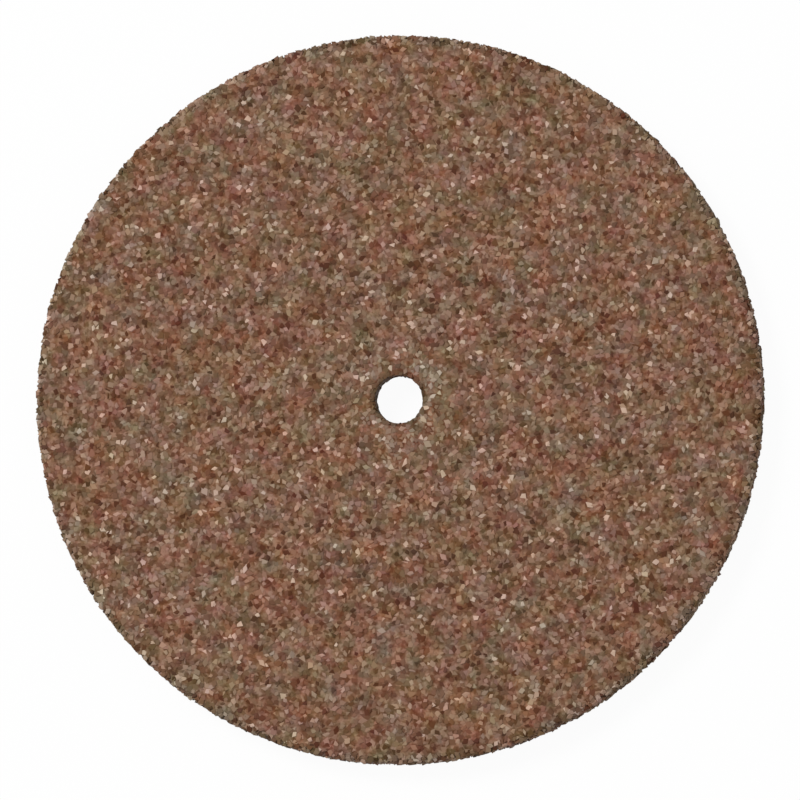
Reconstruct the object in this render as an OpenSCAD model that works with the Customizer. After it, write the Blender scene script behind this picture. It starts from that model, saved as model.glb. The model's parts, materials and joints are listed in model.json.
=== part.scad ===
// Cut-off wheel for a rotary tool: one flat disc of bonded abrasive with a plain centre bore.
// The origin is on the bore's axis at the lower side face, and +Z runs along that axis.

/* [Wheel] */
// Outside diameter of the wheel
wheel_diameter = 24; // [16:0.5:40]
// Thickness between the two side faces
wheel_thickness = 1; // [0.6:0.05:2]
// Radius that rounds each side face into the rim
rim_corner_radius = 0.2; // [0.05:0.01:0.25]

/* [Arbor bore] */
// Diameter of the bore that the mandrel's screw passes through
bore_diameter = 1.6; // [1:0.1:6]
// Width of the broken edge at each mouth of the bore
bore_edge_break = 0.05; // [0.02:0.01:0.15]

/* [Hidden] */
$fn = 128;

// Mean brown of the grit and its bond
abrasive_brown = "#7c5e4b";
wheel_radius = wheel_diameter / 2;
bore_radius = bore_diameter / 2;
// Radius at which each side face ends and its rim corner starts
face_radius = wheel_radius - rim_corner_radius;

// Puts its children at the lower face and, turned over, at the upper face.
module at_both_faces() {
    children();
    translate([0, wheel_thickness]) mirror([0, 1]) children();
}

// The square corner outside the quarter round between the lower face and the rim.
module rim_corner_waste() {
    difference() {
        translate([face_radius, 0]) square(rim_corner_radius);
        translate([face_radius, rim_corner_radius]) circle(r = rim_corner_radius);
    }
}

// The sharp corner that the lower mouth of the bore loses, at 45 degrees.
module bore_edge_waste() {
    translate([bore_radius, 0])
    polygon([[0, 0], [bore_edge_break, 0], [0, bore_edge_break]]);
}

// Half section of the wheel, with the radius along X and the height along Y.
module wheel_section() {
    difference() {
        translate([bore_radius, 0]) square([wheel_radius - bore_radius, wheel_thickness]);
        at_both_faces() rim_corner_waste();
        at_both_faces() bore_edge_waste();
    }
}

// The whole wheel, turned as one solid.
module cut_off_wheel() {
    color(abrasive_brown) rotate_extrude() wheel_section();
}

cut_off_wheel();
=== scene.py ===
"""Cut-off wheel: angular brown grit held in a resin bond, lying on a white studio floor."""

import json
import math
from typing import NamedTuple

import bmesh
import bpy
from bpy.props import FloatProperty, FloatVectorProperty, IntProperty, PointerProperty
from mathutils import Matrix, Vector


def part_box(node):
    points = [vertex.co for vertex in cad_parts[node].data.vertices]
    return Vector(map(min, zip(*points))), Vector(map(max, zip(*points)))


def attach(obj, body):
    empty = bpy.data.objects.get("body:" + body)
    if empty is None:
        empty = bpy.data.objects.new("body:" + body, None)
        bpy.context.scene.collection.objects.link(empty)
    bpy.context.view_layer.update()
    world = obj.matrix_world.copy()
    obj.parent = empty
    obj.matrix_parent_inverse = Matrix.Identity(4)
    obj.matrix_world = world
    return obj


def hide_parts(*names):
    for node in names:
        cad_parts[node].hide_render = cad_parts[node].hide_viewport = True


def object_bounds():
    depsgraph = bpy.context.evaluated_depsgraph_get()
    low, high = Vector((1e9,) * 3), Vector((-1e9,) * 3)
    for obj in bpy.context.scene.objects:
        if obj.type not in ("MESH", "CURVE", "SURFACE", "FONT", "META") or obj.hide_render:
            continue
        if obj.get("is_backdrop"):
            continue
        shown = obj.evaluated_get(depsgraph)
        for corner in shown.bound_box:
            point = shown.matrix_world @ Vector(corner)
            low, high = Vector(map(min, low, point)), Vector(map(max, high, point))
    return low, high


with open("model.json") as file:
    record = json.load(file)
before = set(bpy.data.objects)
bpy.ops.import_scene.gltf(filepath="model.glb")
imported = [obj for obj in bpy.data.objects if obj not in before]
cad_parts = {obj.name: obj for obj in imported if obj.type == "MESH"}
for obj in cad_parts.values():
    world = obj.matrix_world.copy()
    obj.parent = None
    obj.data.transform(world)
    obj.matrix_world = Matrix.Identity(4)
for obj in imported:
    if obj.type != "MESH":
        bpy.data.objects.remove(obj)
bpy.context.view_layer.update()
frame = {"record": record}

bl_info = {
    "name": "Cut-off wheel",
    "version": (1, 0, 0),
    "blender": (4, 5, 0),
    "location": "View3D > Sidebar > Cut-off wheel",
    "description": "Dresses a cut-off wheel in bonded grit and sets up a white studio round it",
    "category": "Object",
}

NODE = "cut_off_wheel"
BODY = "root"
LOW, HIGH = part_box(NODE)
MM = 0.001
BORE = next(m for m in frame["record"]["mounts"] if m["name"] == "arbor_bore")
MOST_TRIANGLES = 200_000
GRIT_TREE = "Bonded grit"
GRAIN_MATERIAL = "abrasive_grain"

# Each grain's colour is a spot on a palette map. Shade runs across the map. Its rows lie one above
# another from mauve to ochre, and each row runs upwards from olive to red.
PALETTE_MAP = "OFBake"
PALETTE_ROWS = 6
SHADE = "grain_shade"
HUE = "grain_hue"

# Red stops short of both ends of a row, so that no grain's spot reaches the next row. Ochre stops
# short of the map's top, where one row too many would begin.
RED_RANGE = (-0.9, 0.85)
OCHRE_RANGE = (-1.0, 0.999)

# Steps of screen colour that change the hue alone: the brightness, weighed by channel, stays as it is
RED_WEIGHT = 0.299
BLUE_WEIGHT = 0.114
RED_LEAN = (1.0 - RED_WEIGHT, -RED_WEIGHT, -RED_WEIGHT)
OCHRE_LEAN = (BLUE_WEIGHT, BLUE_WEIGHT, BLUE_WEIGHT - 1.0)
SCREEN_GAMMA = 2.2

# How far the hue at the rim leans away from red
RIM_GREYING = 0.5

# Width of the picture, and of the wheel in it, in pixels
PICTURE_WIDTH = 800
WHEEL_WIDTH = 729

# Which way the picture's top lies, and how near and far the camera sees, in metres
PICTURE_UP = Vector((0.0, 1.0, 0.0))
NEAREST_SEEN = 0.01
FARTHEST_SEEN = 10.0


class Clumps(NamedTuple):
    """Which part of the noise the clumps of one lean come from, and how fine they are."""

    start: float
    scale: float


# Each lean starts elsewhere in the noise, so that the three are independent
RED_CLUMPS = Clumps(0.0, 1700.0)
OCHRE_CLUMPS = Clumps(0.05, 1700.0)
PALE_CLUMPS = Clumps(0.1, 2400.0)


class Seat(NamedTuple):
    """How grains sit in one stretch of the wheel's surface."""

    shallowest: float
    deepest: float
    relief: float
    spring: float


# Depths are in grain widths; relief is how far inside the rim and the bore the mould begins to press
# a grain back, and spring the share of its overhang that stays
SEATS = {
    "upper": Seat(0.27, 0.37, 0.04 * MM, 0.4),
    "lower": Seat(0.27, 0.37, 0.04 * MM, 0.4),
    "rim": Seat(0.15, 0.55, 0.0, 0.65),
    "bore": Seat(0.2, 0.33, 0.0, 0.42),
}


class WheelSizes(bpy.types.PropertyGroup):
    """Form of the wheel, in metres."""

    wheel_radius: FloatProperty(
        name="Wheel radius",
        description="Radius of the rim",
        default=(HIGH.x - LOW.x) / 2,
        unit="LENGTH",
        precision=6,
    )
    thickness: FloatProperty(
        name="Thickness",
        description="Distance between the two side faces",
        default=HIGH.z - LOW.z,
        unit="LENGTH",
        precision=6,
    )
    bore_radius: FloatProperty(
        name="Bore radius",
        description="Radius of the arbor bore",
        default=BORE["dims"]["r_mm"] * MM,
        unit="LENGTH",
        precision=6,
    )
    bore_edge_break: FloatProperty(
        name="Bore edge break",
        description="Width of the broken edge at each mouth of the bore",
        default=(HIGH.z - LOW.z - BORE["dims"]["length_mm"] * MM) / 2,
        unit="LENGTH",
        precision=6,
    )
    rim_corner: FloatProperty(
        name="Rim corner",
        description="Radius that rounds each side face into the rim",
        default=0.2 * MM,
        unit="LENGTH",
        precision=6,
    )


class GritSizes(bpy.types.PropertyGroup):
    """Size and packing of the abrasive grains and of the bond under them, in metres."""

    spacing: FloatProperty(
        name="Grain spacing",
        description="Least distance between the middles of two grains",
        default=0.127 * MM,
        unit="LENGTH",
        precision=6,
    )
    smallest: FloatProperty(
        name="Smallest grain",
        description="Width of the smallest grains",
        default=0.15 * MM,
        unit="LENGTH",
        precision=6,
    )
    largest: FloatProperty(
        name="Largest grain",
        description="Width of the largest grains",
        default=0.24 * MM,
        unit="LENGTH",
        precision=6,
    )
    side_relief: FloatProperty(
        name="Side relief",
        description="How far inside the side faces the mould begins to press a grain back",
        default=0.05 * MM,
        unit="LENGTH",
        precision=6,
    )
    side_spring: FloatProperty(
        name="Side spring",
        description="Share of a grain's overhang that stays on the side faces",
        default=0.33,
        subtype="FACTOR",
        min=0.0,
        max=1.0,
    )
    shoulder_width: FloatProperty(
        name="Shoulder width",
        description="Width of the band inside the rim where grains are pressed lower",
        default=0.5 * MM,
        unit="LENGTH",
        precision=6,
    )
    shoulder_drop: FloatProperty(
        name="Shoulder drop",
        description="How much lower grains are pressed at the rim",
        default=0.065 * MM,
        unit="LENGTH",
        precision=6,
    )
    bond_recess: FloatProperty(
        name="Bond recess",
        description="How far the bond lies inside the wheel's form",
        default=0.043 * MM,
        unit="LENGTH",
        precision=6,
    )
    bond_corner: FloatProperty(
        name="Bond corner",
        description="Radius that rounds each face of the bond into its rim",
        default=0.28 * MM,
        unit="LENGTH",
        precision=6,
    )
    seed: IntProperty(
        name="Seed",
        description="Start of the random scatter",
        default=7,
    )


class AbrasiveColours(bpy.types.PropertyGroup):
    """Colours of the grains and of the bond, as they look on a screen."""

    dark_grain: FloatVectorProperty(
        name="Dark grain",
        description="The few darkest grains",
        default=(0.285, 0.16, 0.08),
        subtype="COLOR_GAMMA",
        min=0.0,
        max=1.0,
    )
    umber_grain: FloatVectorProperty(
        name="Umber grain",
        description="Dark grains",
        default=(0.384, 0.261, 0.181),
        subtype="COLOR_GAMMA",
        min=0.0,
        max=1.0,
    )
    brown_grain: FloatVectorProperty(
        name="Brown grain",
        description="Grains of middle shade, which are the most",
        default=(0.488, 0.366, 0.288),
        subtype="COLOR_GAMMA",
        min=0.0,
        max=1.0,
    )
    tan_grain: FloatVectorProperty(
        name="Tan grain",
        description="Pale grains",
        default=(0.601, 0.481, 0.404),
        subtype="COLOR_GAMMA",
        min=0.0,
        max=1.0,
    )
    buff_grain: FloatVectorProperty(
        name="Buff grain",
        description="The palest of the common grains",
        default=(0.665, 0.551, 0.475),
        subtype="COLOR_GAMMA",
        min=0.0,
        max=1.0,
    )
    # The few brightest grains are pale grains whose colour also stands in for glints off grain facets,
    # so partly painted highlight
    cream_grain_and_glint: FloatVectorProperty(
        name="Cream grain",
        description="The few brightest grains",
        default=(0.84, 0.73, 0.655),
        subtype="COLOR_GAMMA",
        min=0.0,
        max=1.0,
    )
    red_swing: FloatProperty(
        name="Red swing",
        description="How far the hue leans from brown to red on one side and to olive grey on the other",
        default=0.06,
        subtype="FACTOR",
        min=0.0,
        max=0.2,
    )
    ochre_swing: FloatProperty(
        name="Ochre swing",
        description="How far the hue leans from brown to ochre on one side and to mauve on the other",
        default=0.03,
        subtype="FACTOR",
        min=0.0,
        max=0.2,
    )
    bond: FloatVectorProperty(
        name="Bond",
        description="Resin bond between the grains",
        default=(0.47, 0.345, 0.265),
        subtype="COLOR_GAMMA",
        min=0.0,
        max=1.0,
    )


class StudioSettings(bpy.types.PropertyGroup):
    """Camera, light and floor."""

    frame_share: FloatProperty(
        name="Share of the frame",
        description="Part of the picture's width that the wheel fills",
        default=WHEEL_WIDTH / PICTURE_WIDTH,
        subtype="FACTOR",
        min=0.01,
        max=1.0,
    )
    lens: FloatProperty(
        name="Lens",
        description="Focal length of the camera, in millimetres",
        default=1000.0,
        subtype="DISTANCE_CAMERA",
    )
    tilt: FloatProperty(
        name="Tilt",
        description="Angle between the line of sight and the bore's axis",
        default=math.radians(7.0),
        subtype="ANGLE",
    )
    tilt_heading: FloatProperty(
        name="Tilt heading",
        description="Where the camera leans to, counted from the picture's right towards its top",
        default=math.radians(-30.0),
        subtype="ANGLE",
    )
    key_place: FloatVectorProperty(
        name="Key lamp place",
        description="Where the key lamp hangs, counted from the middle of the wheel",
        default=(-0.22, 0.18, 0.28),
        subtype="TRANSLATION",
        unit="LENGTH",
    )
    key_size: FloatProperty(
        name="Key lamp size",
        description="Width of the key lamp's disc",
        default=0.16,
        unit="LENGTH",
    )
    key_share: FloatProperty(
        name="Key light",
        description="Part of the light on the upper face that comes from the key lamp",
        default=0.5,
        subtype="FACTOR",
        min=0.0,
        max=1.0,
    )
    world_share: FloatProperty(
        name="Sky light",
        description="Part of the light on the upper face that comes from all round",
        default=0.5,
        subtype="FACTOR",
        min=0.0,
        max=1.0,
    )
    floor_width: FloatProperty(
        name="Floor width",
        description="Length of each side of the floor",
        default=6.0,
        unit="LENGTH",
    )
    floor_colour: FloatVectorProperty(
        name="Floor colour",
        description="Colour of the floor in the light that falls on it",
        default=(0.9, 0.9, 0.9),
        subtype="COLOR",
        min=0.0,
        max=1.0,
    )
    floor_glow: FloatProperty(
        name="Floor white",
        description="How far the floor is plain white to the camera; the rest shows the shadow",
        default=0.95,
        subtype="FACTOR",
        min=0.0,
        max=1.0,
    )


class CutOffWheel(bpy.types.PropertyGroup):
    """All settings of the wheel and its studio."""

    sizes: PointerProperty(
        name="Sizes",
        description="Form of the wheel",
        type=WheelSizes,
    )
    grit: PointerProperty(
        name="Grit",
        description="Grains and the bond under them",
        type=GritSizes,
    )
    colours: PointerProperty(
        name="Colours",
        description="Colours of the grains and of the bond",
        type=AbrasiveColours,
    )
    studio: PointerProperty(
        name="Studio",
        description="Camera, light and floor",
        type=StudioSettings,
    )


class Wire:
    """One output socket of a node tree, with the arithmetic that the trees use."""

    def __init__(self, desk, socket):
        self.desk = desk
        self.socket = socket

    def out(self, identifier):
        """Another output of the same node."""
        return Wire(self.desk, self.desk.pick(self.socket.node.outputs, identifier))

    def floored(self):
        return self.desk.math("FLOOR", self)

    def clamped(self, low, high):
        return self.desk.math("MINIMUM", self.desk.math("MAXIMUM", self, low), high)

    def __neg__(self):
        return self.desk.math("MULTIPLY", self, -1.0)

    def __add__(self, other):
        return self.desk.math("ADD", self, other)

    def __radd__(self, other):
        return self.desk.math("ADD", other, self)

    def __sub__(self, other):
        return self.desk.math("SUBTRACT", self, other)

    def __rsub__(self, other):
        return self.desk.math("SUBTRACT", other, self)

    def __mul__(self, other):
        return self.desk.math("MULTIPLY", self, other)

    def __rmul__(self, other):
        return self.desk.math("MULTIPLY", other, self)

    def __truediv__(self, other):
        return self.desk.math("DIVIDE", self, other)

    def __rtruediv__(self, other):
        return self.desk.math("DIVIDE", other, self)


class Desk:
    """Adds nodes to one tree."""

    def __init__(self, tree):
        self.tree = tree

    @staticmethod
    def pick(sockets, identifier):
        return next(s for s in sockets if s.identifier == identifier)

    def give(self, socket, value):
        """Sets an input socket to a value, or links it to a wire or to each wire of a list."""
        if isinstance(value, Wire):
            self.tree.links.new(value.socket, socket)
        elif isinstance(value, list):
            for wire in value:
                self.give(socket, wire)
        else:
            socket.default_value = value

    def add(self, kind, settings=None, sockets=None, output=None):
        """A new node: its settings are set first, then its sockets get values or links."""
        node = self.tree.nodes.new(kind)
        for name, value in (settings or {}).items():
            if name == "stops":
                set_stops(node.color_ramp, value)
            else:
                setattr(node, name, value)
        for identifier, value in (sockets or {}).items():
            self.give(self.pick(node.inputs, identifier), value)
        if not node.outputs:
            return None
        if output is None:
            return Wire(self, next(s for s in node.outputs if s.enabled))
        return Wire(self, self.pick(node.outputs, output))

    def math(self, operation, first, second=0.0, third=0.0):
        """A Math node, for plain values."""
        values = {"Value": first, "Value_001": second, "Value_002": third}
        return self.add("ShaderNodeMath", {"operation": operation}, values)

    def vector(self, operation, first, second):
        """A Vector Math node on two vectors."""
        values = {"Vector": first, "Vector_001": second}
        return self.add("ShaderNodeVectorMath", {"operation": operation}, values)

    def scaled(self, vector, factor):
        """A vector times a plain value."""
        values = {"Vector": vector, "Scale": factor}
        return self.add("ShaderNodeVectorMath", {"operation": "SCALE"}, values)

    def length(self, vector):
        """The length of a vector."""
        return self.add("ShaderNodeVectorMath", {"operation": "LENGTH"}, {"Vector": vector}, "Value")


def set_stops(ramp, stops):
    """Gives a colour ramp its stops, as (place, colour) pairs in rising order."""
    while len(ramp.elements) < len(stops):
        ramp.elements.new(1.0)
    for element, (place, colour) in zip(ramp.elements, stops):
        element.position = place
        element.color = (*colour, 1.0)


def leaned(desk, colour, red, ochre, colours):
    """A screen colour with its hue leaned to red and to ochre, each from -1 to 1, as light."""
    steps = ((red * colours.red_swing, RED_LEAN), (ochre * colours.ochre_swing, OCHRE_LEAN))
    for amount, direction in steps:
        colour = desk.vector("ADD", colour, desk.scaled(direction, amount))
    return desk.add("ShaderNodeGamma", None, {"Color": colour, "Gamma": SCREEN_GAMMA})


def clump(desk, place, clumps, gain=4.2):
    """A lean, mostly from -1 to 1, that neighbouring grains and the bond round them share."""
    moved = desk.vector("ADD", place, (clumps.start, clumps.start, clumps.start))
    noise = desk.add(
        "ShaderNodeTexNoise",
        None,
        {"Vector": moved, "Scale": clumps.scale, "Detail": 2.0, "Roughness": 0.6},
    )
    return (noise - 0.5) * gain


def leans(desk, place, pale_loss=0.12, red_loss=0.15):
    """The red, ochre and pale leans of a spot: a pale one is less red, and a red one less ochre."""
    pale = clump(desk, place, PALE_CLUMPS)
    red = clump(desk, place, RED_CLUMPS) - pale * pale_loss
    ochre = clump(desk, place, OCHRE_CLUMPS) - red * red_loss
    return red, ochre, pale


def aside(desk, position, middle=(0.0, 0.0, 0.0)):
    """How far a position is from the upright line through middle."""
    away = desk.vector("SUBTRACT", position, middle)
    return desk.length(desk.vector("MULTIPLY", away, (1.0, 1.0, 0.0)))


def darker_at_bore(desk, position, bore_radius, middle=(-0.025 * MM, 0.03 * MM, 0.0), width=0.15 * MM):
    """One at the bore's wall and mouth, which are darker, falling to nought a grain's width away."""
    return ((bore_radius + width - aside(desk, position, middle)) / (width / 2)).clamped(0.0, 1.0)


def near_bore(desk, position, middle=(0.3 * MM, -0.1 * MM, 0.0), reach=2.2 * MM):
    """One beside the bore, where the grains are paler and greyer, falling to nought at its reach."""
    return ((reach - aside(desk, position, middle)) / (reach / 2)).clamped(0.0, 1.0)


def near_rim(desk, position, wheel_radius, reach=0.45 * MM):
    """One at the rim, which is greyer, falling to nought at its reach inside it."""
    inside = wheel_radius - aside(desk, position)
    return ((reach - inside) / reach).clamped(0.0, 1.0)


def section(sizes, corner, recess=0.0, corner_steps=6):
    """The wheel's half section, in four stretches of (radius, height) points that run round it."""
    inner = sizes.bore_radius + recess
    outer = sizes.wheel_radius - recess
    bottom = recess
    top = sizes.thickness - recess
    mouth = sizes.bore_radius + sizes.bore_edge_break + recess
    edge = mouth - inner
    turns = [math.pi / 2 * i / corner_steps for i in range(corner_steps + 1)]
    upper_round = [
        (outer - corner + corner * math.sin(t), top - corner + corner * math.cos(t)) for t in turns
    ]
    lower_round = [(r, bottom + top - z) for r, z in reversed(upper_round)]
    return {
        "bore": [(mouth, bottom), (inner, bottom + edge), (inner, top - edge), (mouth, top)],
        "upper": [(mouth, top), upper_round[0]],
        "rim": upper_round + lower_round,
        "lower": [lower_round[-1], (mouth, bottom)],
    }


def lathe(name, profile, closed, segments=240):
    """A mesh turned about the bore's axis from (radius, height) points, facing outwards."""
    form = bmesh.new()
    rings = []
    for radius, height in profile:
        ring = []
        for i in range(segments):
            turn = 2 * math.pi * i / segments
            ring.append(form.verts.new((radius * math.cos(turn), radius * math.sin(turn), height)))
        rings.append(ring)
    pairs = list(zip(rings, rings[1:]))
    if closed:
        pairs.append((rings[-1], rings[0]))
    for first, second in pairs:
        for i in range(segments):
            j = (i + 1) % segments
            form.faces.new((first[i], second[i], second[j], first[j]))
    mesh = bpy.data.meshes.new(name)
    form.to_mesh(mesh)
    form.free()
    return mesh


def show(name, data):
    """Puts a mesh, a lamp or a camera into the scene as an object of that name."""
    item = bpy.data.objects.new(name, data)
    bpy.context.scene.collection.objects.link(item)
    return item


def settle(piece):
    """Makes what a piece's modifiers give it into its own plain mesh."""
    graph = bpy.context.evaluated_depsgraph_get()
    mesh = bpy.data.meshes.new_from_object(
        piece.evaluated_get(graph), preserve_all_data_layers=True, depsgraph=graph
    )
    piece.modifiers.clear()
    seat = piece.data
    piece.data = mesh
    bpy.data.meshes.remove(seat)
    mesh.name = piece.name


def mount(piece):
    """Checks that a finished piece has some triangles but not too many, and ties it to the wheel's body.
    """
    piece.data.calc_loop_triangles()
    triangles = len(piece.data.loop_triangles)
    if not 0 < triangles < MOST_TRIANGLES:
        raise RuntimeError(f"{piece.name} has {triangles} triangles")
    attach(piece, BODY)


def new_material(name):
    """An empty material and the desk to build it on."""
    material = bpy.data.materials.new(name)
    material.use_nodes = True
    material.node_tree.nodes.clear()
    return material, Desk(material.node_tree)


def grain_material(colours):
    """Grains whose shade and hue are read from the palette map."""
    material, desk = new_material(GRAIN_MATERIAL)
    palette = desk.add("ShaderNodeUVMap", {"uv_map": PALETTE_MAP})
    shade = desk.add("ShaderNodeSeparateXYZ", None, {"Vector": palette}, "X")
    height = shade.out("Y") * PALETTE_ROWS
    row = height.floored()
    shades = (
        (0.0, colours.dark_grain),
        (0.1, colours.umber_grain),
        (0.5, colours.brown_grain),
        (0.9, colours.tan_grain),
        (0.985, colours.buff_grain),
        # The cream end is partly painted highlight, standing for glints off grain facets
        (1.0, colours.cream_grain_and_glint),
    )
    colour = desk.add("ShaderNodeValToRGB", {"stops": shades}, {"Fac": shade})
    red = (height - row) * 2.0 - 1.0
    ochre = row * (2.0 / (PALETTE_ROWS - 1)) - 1.0
    surface = desk.add(
        "ShaderNodeBsdfPrincipled",
        None,
        {
            "Base Color": leaned(desk, colour, red, ochre, colours),
            "Roughness": 0.62,
            "Specular IOR Level": 0.2,
        },
    )
    desk.add("ShaderNodeOutputMaterial", None, {"Surface": surface})
    return material


def bond_material(
    colours, sizes, fineness=5600.0, swing=0.12, paling=0.12, bore_darkening=0.4, pit_depth=0.02 * MM
):
    """Matt brown resin with fine uneven colour and a pitted surface."""
    material, desk = new_material("resin_bond")
    place = desk.add("ShaderNodeTexCoord", None, None, "Object")
    grain = desk.add("ShaderNodeTexNoise", None, {"Vector": place, "Scale": fineness, "Detail": 2.0})
    red, ochre, pale = leans(desk, place)
    red = red - near_rim(desk, place, sizes.wheel_radius) * RIM_GREYING
    middle = Vector(colours.bond)
    step = Vector((swing, swing, swing))
    # The bond is made darker at the bore's wall and mouth
    colour = desk.add(
        "ShaderNodeValToRGB",
        {"stops": [(0.3, middle - step), (0.7, middle + step)]},
        {"Fac": grain + pale * paling - darker_at_bore(desk, place, sizes.bore_radius) * bore_darkening},
    )
    pits = desk.add("ShaderNodeBump", None, {"Strength": 0.6, "Distance": pit_depth, "Height": grain})
    surface = desk.add(
        "ShaderNodeBsdfPrincipled",
        None,
        {
            "Base Color": leaned(desk, colour, red, ochre, colours),
            "Roughness": 0.75,
            "Specular IOR Level": 0.2,
            "Normal": pits,
        },
    )
    desk.add("ShaderNodeOutputMaterial", None, {"Surface": surface})
    return material


def random_value(desk, low, high, seed):
    """A random number for each grain."""
    values = {"Min_001": low, "Max_001": high, "Seed": seed}
    return desk.add("FunctionNodeRandomValue", {"data_type": "FLOAT"}, values, "Value_001")


def random_vector(desk, low, high, seed):
    """A random vector for each grain or corner."""
    values = {"Min": low, "Max": high, "Seed": seed}
    return desk.add("FunctionNodeRandomValue", {"data_type": "FLOAT_VECTOR"}, values)


def grain_shapes(desk, count=8, radius=0.52, depth=0.74, shake=0.2):
    """Several angular grains about one unit wide: hulls of wedges and blocks with shaken corners."""
    shapes = []
    for seed in range(count):
        sides = 4 if seed % 4 else 3
        prism = desk.add(
            "GeometryNodeMeshCylinder",
            {"fill_type": "NGON"},
            {"Vertices": sides, "Radius": radius, "Depth": depth},
        )
        offset = random_vector(desk, (-shake, -shake, -shake), (shake, shake, shake), seed)
        shaken = desk.add("GeometryNodeSetPosition", None, {"Geometry": prism, "Offset": offset})
        shapes.append(desk.add("GeometryNodeConvexHull", None, {"Geometry": shaken}))
    return desk.add("GeometryNodeGeometryToInstance", None, {"Geometry": shapes})


def grit_inputs(desk):
    """The inputs of the grit tree, by name."""
    face = desk.tree.interface
    face.new_socket("Geometry", in_out="INPUT", socket_type="NodeSocketGeometry")
    grains = ("Spacing", "Smallest", "Largest", "Shallowest", "Deepest")
    form = ("Wheel radius", "Thickness", "Bore radius")
    mould = ("Relief", "Spring", "Side relief", "Side spring", "Shoulder width", "Shoulder drop")
    for name in (*grains, *form, *mould):
        face.new_socket(name, in_out="INPUT", socket_type="NodeSocketFloat")
    face.new_socket("Seed", in_out="INPUT", socket_type="NodeSocketInt")
    face.new_socket("Material", in_out="INPUT", socket_type="NodeSocketMaterial")
    entry = desk.add("NodeGroupInput").socket.node
    return {socket.name: Wire(desk, socket) for socket in entry.outputs if socket.name}


def grain_turn(desk, points, seed, tip=0.3):
    """How each grain is turned: any way about the surface's normal, and tipped a little off it."""
    tipped = random_vector(desk, (-tip, -tip, 0.0), (tip, tip, math.tau), seed)
    own_turn = desk.add("FunctionNodeEulerToRotation", None, {"Euler": tipped})
    return desk.add(
        "FunctionNodeRotateRotation",
        {"rotation_space": "LOCAL"},
        {"Rotation": points.out("Rotation"), "Rotate By": own_turn},
    )


def placed_grains(desk, given, crowd=3.0, narrowest=0.75, widest=1.1):
    """Grains all over the surface, each sunk into it, turned and stretched in its own way."""
    seed = given["Seed"]
    spacing = given["Spacing"]
    points = desk.add(
        "GeometryNodeDistributePointsOnFaces",
        {"distribute_method": "POISSON"},
        {
            "Mesh": given["Geometry"],
            "Distance Min": spacing,
            "Density Max": crowd / (spacing * spacing),
            "Seed": seed,
        },
    )
    spread = random_value(desk, 0.0, 1.0, seed + 1)
    width = given["Smallest"] + (given["Largest"] - given["Smallest"]) * spread
    depth = width * random_value(desk, given["Shallowest"], given["Deepest"], seed + 2)
    inward = desk.scaled(points.out("Normal"), -depth)
    sunk = desk.add("GeometryNodeSetPosition", None, {"Geometry": points, "Offset": inward})
    turn = grain_turn(desk, points, seed + 3)
    stretch = random_vector(desk, (narrowest,) * 3, (widest,) * 3, seed + 4)
    return desk.add(
        "GeometryNodeInstanceOnPoints",
        None,
        {
            "Points": sunk,
            "Instance": grain_shapes(desk),
            "Pick Instance": True,
            "Rotation": turn,
            "Scale": desk.scaled(stretch, width),
        },
    )


def grain_colour(
    desk, place, given, stray=0.1, bore_greying=0.45, bore_paling=0.4, paling=1.6, bore_darkening=0.75
):
    """The shade and the hue of each grain, which are its places across and up the palette map."""
    seed = given["Seed"]
    near = near_bore(desk, place)
    red, ochre, pale = leans(desk, place)
    red = red + random_value(desk, -stray, stray, seed + 5) - near * bore_greying
    red = red - near_rim(desk, place, given["Wheel radius"]) * RIM_GREYING
    ochre = ochre + random_value(desk, -stray, stray, seed + 7)
    row = (ochre.clamped(*OCHRE_RANGE) + 1.0) * (PALETTE_ROWS / 2)
    within = red.clamped(*RED_RANGE) * 0.5 + 0.5
    hue = (row.floored() + within) / PALETTE_ROWS
    shade = 1.0 - random_value(desk, 0.0, 1.0, seed + 6) * (1.0 - near * bore_paling)
    # The darkest and the brightest grains stay as few as they are
    shade = shade + pale * shade * (1.0 - shade) * paling
    # The grains are made darker at the bore's wall and mouth
    shade = shade * (1.0 - darker_at_bore(desk, place, given["Bore radius"]) * bore_darkening)
    return {SHADE: shade, HUE: hue}


def pressed(desk, position, given):
    """Where a corner of a grain ends up when the mould presses it back to the wheel's form."""
    relief = given["Relief"]
    x = desk.add("ShaderNodeSeparateXYZ", None, {"Vector": position}, "X")
    y = x.out("Y")
    z = x.out("Z")
    radius = desk.math("SQRT", x * x + y * y)
    held_radius = radius.clamped(given["Bore radius"] + relief, given["Wheel radius"] - relief)
    ratio = (held_radius + (radius - held_radius) * given["Spring"]) / radius
    inside = given["Wheel radius"] - radius
    fall = (1.0 - inside / given["Shoulder width"]).clamped(0.0, 1.0)
    side = given["Side relief"] + fall * fall * given["Shoulder drop"]
    held_height = z.clamped(side, given["Thickness"] - side)
    height = held_height + (z - held_height) * given["Side spring"]
    return desk.add("ShaderNodeCombineXYZ", None, {"X": x * ratio, "Y": y * ratio, "Z": height})


def palette_spot(desk, patch=0.004):
    """Where a face's corners lie on the palette map: a small triangle at its grain's shade and hue."""
    index = desk.add("GeometryNodeInputIndex")
    corner = desk.math("FLOORED_MODULO", index, 3.0)
    axes = []
    for name, moved_corner in ((SHADE, 1.0), (HUE, 2.0)):
        stored = desk.add(
            "GeometryNodeInputNamedAttribute", {"data_type": "FLOAT"}, {"Name": name}, "Attribute"
        )
        moved = desk.math("COMPARE", corner, moved_corner, 0.5)
        axes.append(stored.clamped(patch, 1.0 - 2 * patch) + moved * patch)
    return desk.add("ShaderNodeCombineXYZ", None, {"X": axes[0], "Y": axes[1]})


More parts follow.
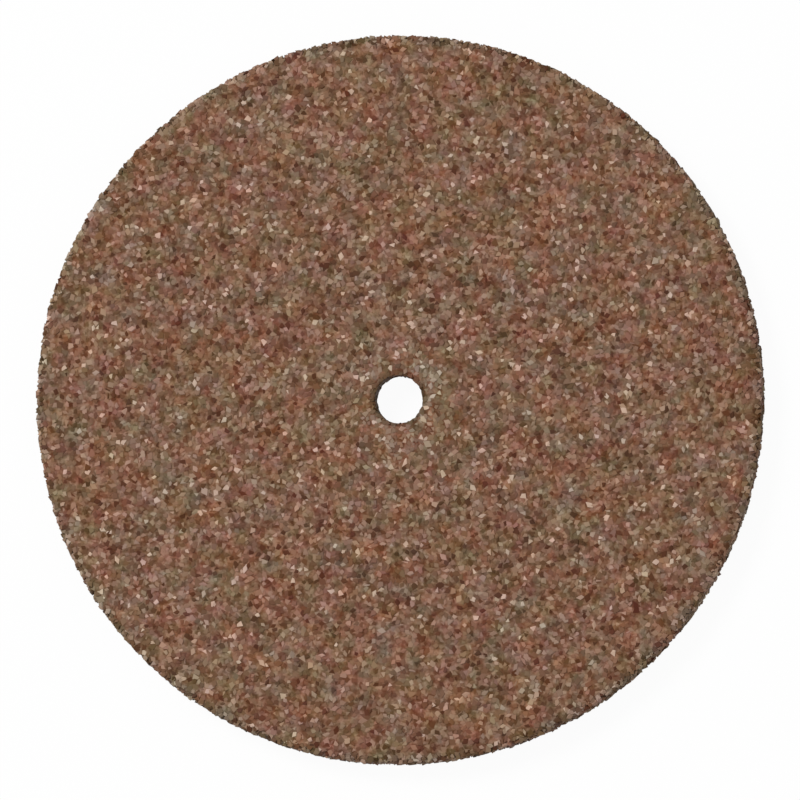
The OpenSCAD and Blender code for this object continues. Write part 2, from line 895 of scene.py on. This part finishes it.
def grit_tree():
    """Geometry Nodes that cover a surface with grains, colour them and press them to shape."""
    tree = bpy.data.node_groups.new(GRIT_TREE, "GeometryNodeTree")
    desk = Desk(tree)
    given = grit_inputs(desk)
    place = desk.add("GeometryNodeInputPosition")
    grains = placed_grains(desk, given)
    for name, value in grain_colour(desk, place, given).items():
        grains = desk.add(
            "GeometryNodeStoreNamedAttribute",
            {"data_type": "FLOAT", "domain": "INSTANCE"},
            {"Geometry": grains, "Name": name, "Value": value},
        )
    grit = desk.add("GeometryNodeRealizeInstances", None, {"Geometry": grains})
    grit = desk.add(
        "GeometryNodeSetPosition",
        None,
        {"Geometry": grit, "Position": pressed(desk, place, given)},
    )
    grit = desk.add(
        "GeometryNodeStoreNamedAttribute",
        {"data_type": "FLOAT2", "domain": "CORNER"},
        {"Geometry": grit, "Name": PALETTE_MAP, "Value": palette_spot(desk)},
    )
    for name in (SHADE, HUE):
        grit = desk.add("GeometryNodeRemoveAttribute", None, {"Geometry": grit, "Name": name})
    grit = desk.add("GeometryNodeSetShadeSmooth", None, {"Geometry": grit, "Shade Smooth": False})
    grit = desk.add(
        "GeometryNodeSetMaterial", None, {"Geometry": grit, "Material": given["Material"]}
    )
    result = tree.interface.new_socket("Geometry", in_out="OUTPUT", socket_type="NodeSocketGeometry")
    desk.add("NodeGroupOutput", None, {result.identifier: grit})
    return tree


def scatter(name, stretch, settings, seed):
    """Adds the grains of one stretch of the wheel's section, as a finished piece."""
    sizes = settings.sizes
    grit = settings.grit
    seat = SEATS[stretch]
    tree = bpy.data.node_groups.get(GRIT_TREE) or grit_tree()
    material = bpy.data.materials.get(GRAIN_MATERIAL) or grain_material(settings.colours)
    profile = section(sizes, sizes.rim_corner)[stretch]
    piece = show(name, lathe(name + "_seat", profile, closed=False))
    modifier = piece.modifiers.new("Grit", "NODES")
    modifier.node_group = tree
    values = {
        "Spacing": grit.spacing,
        "Smallest": grit.smallest,
        "Largest": grit.largest,
        "Shallowest": seat.shallowest,
        "Deepest": seat.deepest,
        "Wheel radius": sizes.wheel_radius,
        "Thickness": sizes.thickness,
        "Bore radius": sizes.bore_radius,
        "Relief": seat.relief,
        "Spring": seat.spring,
        "Side relief": grit.side_relief,
        "Side spring": grit.side_spring,
        "Shoulder width": grit.shoulder_width,
        "Shoulder drop": grit.shoulder_drop,
        "Seed": seed,
        "Material": material,
    }
    for item in tree.interface.items_tree:
        if item.in_out == "INPUT" and item.name in values:
            modifier[item.identifier] = values[item.name]
    settle(piece)
    mount(piece)


class WHEEL_OT_add_bond(bpy.types.Operator):
    """Add the resin bond, which stands for the plain wheel"""

    bl_idname = "cut_off_wheel.add_bond"
    bl_label = "Add bond"

    def execute(self, context):
        settings = context.scene.cut_off_wheel
        grit = settings.grit
        stretches = section(settings.sizes, grit.bond_corner, grit.bond_recess)
        profile = []
        for name in ("bore", "upper", "rim", "lower"):
            profile += stretches[name][:-1]
        piece = show("resin_bond", lathe("resin_bond", profile, closed=True))
        piece.data.materials.append(bond_material(settings.colours, settings.sizes))
        mount(piece)
        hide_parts(NODE)
        return {"FINISHED"}


class WHEEL_OT_add_side_grit(bpy.types.Operator):
    """Add the grains of the two side faces"""

    bl_idname = "cut_off_wheel.add_side_grit"
    bl_label = "Add side grit"

    def execute(self, context):
        settings = context.scene.cut_off_wheel
        seed = settings.grit.seed
        scatter("upper_side_grit", "upper", settings, seed)
        scatter("lower_side_grit", "lower", settings, seed + 10)
        return {"FINISHED"}


class WHEEL_OT_add_edge_grit(bpy.types.Operator):
    """Add the grains of the rim and of the bore's wall"""

    bl_idname = "cut_off_wheel.add_edge_grit"
    bl_label = "Add edge grit"

    def execute(self, context):
        settings = context.scene.cut_off_wheel
        seed = settings.grit.seed
        scatter("rim_grit", "rim", settings, seed + 20)
        scatter("bore_grit", "bore", settings, seed + 30)
        return {"FINISHED"}


def seen(desk):
    """One where the camera looks, straight or by way of gloss or glass, and nought for other light."""
    path = desk.add("ShaderNodeLightPath", None, None, "Is Camera Ray")
    glossy = desk.math("MAXIMUM", path, path.out("Is Glossy Ray"))
    return desk.math("MAXIMUM", glossy, path.out("Is Transmission Ray"))


def floor_material(studio):
    """A pale floor that looks white to the camera but keeps a faint shadow."""
    material, desk = new_material("studio_floor")
    pale = desk.add("ShaderNodeBsdfDiffuse", None, {"Color": (*studio.floor_colour, 1.0)})
    white = desk.add("ShaderNodeEmission", None, {"Color": (1.0, 1.0, 1.0, 1.0), "Strength": 1.0})
    surface = desk.add(
        "ShaderNodeMixShader",
        None,
        {"Fac": seen(desk) * studio.floor_glow, "Shader": pale, "Shader_001": white},
    )
    desk.add("ShaderNodeOutputMaterial", None, {"Surface": surface})
    return material


def white_world(studio):
    """Even light from all round, behind a white backdrop."""
    world = bpy.data.worlds.new("studio_white")
    world.use_nodes = True
    world.node_tree.nodes.clear()
    desk = Desk(world.node_tree)
    share = studio.world_share
    strength = seen(desk) * (1.0 - share) + share
    sky = desk.add(
        "ShaderNodeBackground", None, {"Color": (1.0, 1.0, 1.0, 1.0), "Strength": strength}
    )
    desk.add("ShaderNodeOutputWorld", None, {"Surface": sky})
    return world


def looking(place, target):
    """The matrix of a camera or lamp at place that points at target, with the picture's top up."""
    back = (place - target).normalized()
    right = PICTURE_UP.cross(back).normalized()
    top = back.cross(right)
    turn = Matrix((right, top, back)).transposed().to_4x4()
    return Matrix.Translation(place) @ turn


def lay_floor(studio):
    """Adds a wide floor that touches the wheel's lowest grains."""
    half = studio.floor_width / 2
    low = min(0.0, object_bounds()[0].z)
    corners = [(-half, -half, low), (half, -half, low), (half, half, low), (-half, half, low)]
    plane = bpy.data.meshes.new("studio_floor")
    plane.from_pydata(corners, [], [(0, 1, 2, 3)])
    plane.materials.append(floor_material(studio))
    show("studio_floor", plane)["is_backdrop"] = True


def hang_key_lamp(studio, target):
    """Adds a soft round lamp that gives the upper face its share of full light."""
    lamp = bpy.data.lights.new("key_lamp", "AREA")
    lamp.shape = "DISK"
    lamp.size = studio.key_size
    away = Vector(studio.key_place)
    slant = away.normalized().z
    # The face gets energy / (pi * distance ** 2) * slant, and looks fully lit when it gets pi
    lamp.energy = studio.key_share * math.pi ** 2 * away.length_squared / slant
    key = show("key_lamp", lamp)
    key.visible_camera = False
    key.matrix_world = looking(target + away, target)


def aim_camera(studio, target, wheel_radius):
    """Adds a far camera that leans a little and shows the wheel at its share of the frame."""
    view = bpy.data.cameras.new("camera")
    view.lens = studio.lens
    view.clip_start = NEAREST_SEEN
    view.clip_end = FARTHEST_SEEN
    width = 2 * wheel_radius / studio.frame_share
    distance = width * view.lens / view.sensor_width
    side = math.sin(studio.tilt)
    lean = Vector((
        side * math.cos(studio.tilt_heading),
        side * math.sin(studio.tilt_heading),
        math.cos(studio.tilt),
    ))
    camera = show("camera", view)
    camera.matrix_world = looking(target + lean * distance, target)
    return camera


class WHEEL_OT_add_studio(bpy.types.Operator):
    """Add the floor, the light and the camera"""

    bl_idname = "cut_off_wheel.add_studio"
    bl_label = "Add studio"

    def execute(self, context):
        scene = context.scene
        settings = scene.cut_off_wheel
        sizes = settings.sizes
        studio = settings.studio
        target = Vector((0.0, 0.0, sizes.thickness / 2))
        scene.view_settings.view_transform = "Standard"
        scene.world = white_world(studio)
        lay_floor(studio)
        hang_key_lamp(studio, target)
        scene.camera = aim_camera(studio, target, sizes.wheel_radius)
        return {"FINISHED"}


OPERATORS = (
    WHEEL_OT_add_bond,
    WHEEL_OT_add_side_grit,
    WHEEL_OT_add_edge_grit,
    WHEEL_OT_add_studio,
)


class WHEEL_PT_sidebar(bpy.types.Panel):
    """Lists the wheel's pieces and settings."""

    bl_label = "Cut-off wheel"
    bl_idname = "WHEEL_PT_sidebar"
    bl_space_type = "VIEW_3D"
    bl_region_type = "UI"
    bl_category = "Cut-off wheel"

    def draw(self, context):
        settings = context.scene.cut_off_wheel
        for operator in OPERATORS:
            self.layout.operator(operator.bl_idname)
        for heading in settings.__annotations__:
            group = getattr(settings, heading)
            box = self.layout.box()
            box.label(text=heading.capitalize())
            for name in group.__annotations__:
                box.prop(group, name)


CLASSES = (
    WheelSizes,
    GritSizes,
    AbrasiveColours,
    StudioSettings,
    CutOffWheel,
    *OPERATORS,
    WHEEL_PT_sidebar,
)


def register():
    for cls in CLASSES:
        bpy.utils.register_class(cls)
    bpy.types.Scene.cut_off_wheel = PointerProperty(type=CutOffWheel)


def unregister():
    del bpy.types.Scene.cut_off_wheel
    for cls in reversed(CLASSES):
        bpy.utils.unregister_class(cls)


def main():
    register()
    bpy.ops.cut_off_wheel.add_bond()
    bpy.ops.cut_off_wheel.add_side_grit()
    bpy.ops.cut_off_wheel.add_edge_grit()
    bpy.ops.cut_off_wheel.add_studio()


if __name__ == "__main__":
    main()
